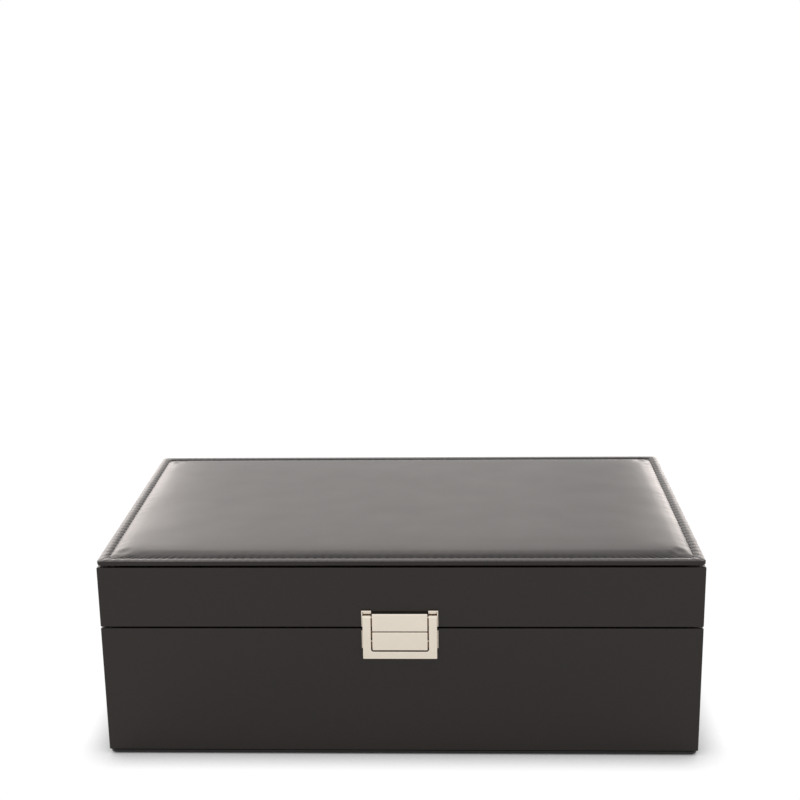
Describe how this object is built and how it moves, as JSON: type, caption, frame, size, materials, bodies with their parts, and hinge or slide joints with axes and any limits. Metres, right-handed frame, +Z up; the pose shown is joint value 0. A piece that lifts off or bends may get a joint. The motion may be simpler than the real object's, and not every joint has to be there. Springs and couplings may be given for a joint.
{
  "type": "jewelry box",
  "caption": "Hinged leatherette jewelry box with a padded top, a swing-bail clasp, a lined inside and a sliding tray.",
  "frame": {"origin": "centre of the underside's footprint, on the surface that the box stands on", "axes": "+X to the right as seen from the front, +Y from the front to the back, +Z up"},
  "size_m": [0.28, 0.1679, 0.1004],
  "materials": {
    "black_leatherette": "satin",
    "black_suede": "matte",
    "foam": "matte",
    "mirror": "polished",
    "pale_nickel": "polished",
    "hinge_steel": "satin",
    "black_board": "satin",
    "fibreboard": "matte",
    "lining_suede": "matte",
    "roll_suede": "matte",
    "pull_ribbon": "satin",
    "thread": "satin"
  },
  "bodies": {
    "base": {"base_front_board": "fibreboard", "base_back_board": "fibreboard", "base_left_board": "fibreboard", "base_right_board": "fibreboard", "base_floor_panel": "fibreboard", "base_wrap": "black_leatherette", "bottom_board": "black_board", "bottom_suede": "black_suede", "liner_front": "lining_suede", "liner_back": "lining_suede", "liner_left": "lining_suede", "liner_right": "lining_suede", "floor_lining": "lining_suede", "front_runner": "lining_suede", "back_runner": "lining_suede", "lower_cross_divider": "lining_suede", "lower_left_divider": "lining_suede", "lower_right_divider": "lining_suede", "clasp_strike_plate": "pale_nickel", "clasp_strike_screws": "pale_nickel", "left_hinge_base_leaf": "hinge_steel", "right_hinge_base_leaf": "hinge_steel", "hinge_base_screws": "hinge_steel", "left_hinge_pin": "hinge_steel", "right_hinge_pin": "hinge_steel"},
    "lid": {"lid_front_board": "fibreboard", "lid_back_board": "fibreboard", "lid_left_board": "fibreboard", "lid_right_board": "fibreboard", "lid_panel": "fibreboard", "lid_wrap": "black_leatherette", "cap_board": "fibreboard", "cap_foam": "foam", "cap_cover": "black_leatherette", "lid_liner_front": "lining_suede", "lid_liner_back": "lining_suede", "lid_liner_left": "lining_suede", "lid_liner_right": "lining_suede", "mirror_glass": "mirror", "mirror_surround": "lining_suede", "clasp_lid_plate": "pale_nickel", "clasp_lid_screws": "pale_nickel", "clasp_pivot_pins": "pale_nickel", "left_hinge_lid_leaf": "hinge_steel", "right_hinge_lid_leaf": "hinge_steel", "hinge_lid_screws": "hinge_steel"},
    "bail": {"clasp_bail": "pale_nickel"},
    "tray": {"tray_front_wall": "lining_suede", "tray_back_wall": "lining_suede", "tray_left_wall": "lining_suede", "tray_right_wall": "lining_suede", "tray_floor": "lining_suede", "tray_long_divider": "lining_suede", "tray_cross_dividers": "lining_suede", "tray_ring_rolls": "roll_suede", "tray_pull_tab": "pull_ribbon"}
  },
  "joints": [
    {"name": "lid_hinge", "type": "hinge", "parent": "base", "child": "lid", "pos_m": [0, 0.0824, 0.0654], "axis": [-1, 0, 0], "range_deg": [0, 95]},
    {"name": "clasp_bail_pivot", "type": "hinge", "parent": "lid", "child": "bail", "pos_m": [0, -0.0819, 0.07157], "axis": [-1, 0, 0], "range_deg": [0, 160]},
    {"name": "tray_slide", "type": "slide", "parent": "base", "child": "tray", "axis": [-1, 0, 0], "range_m": [0, 0.1304]}
  ]
}
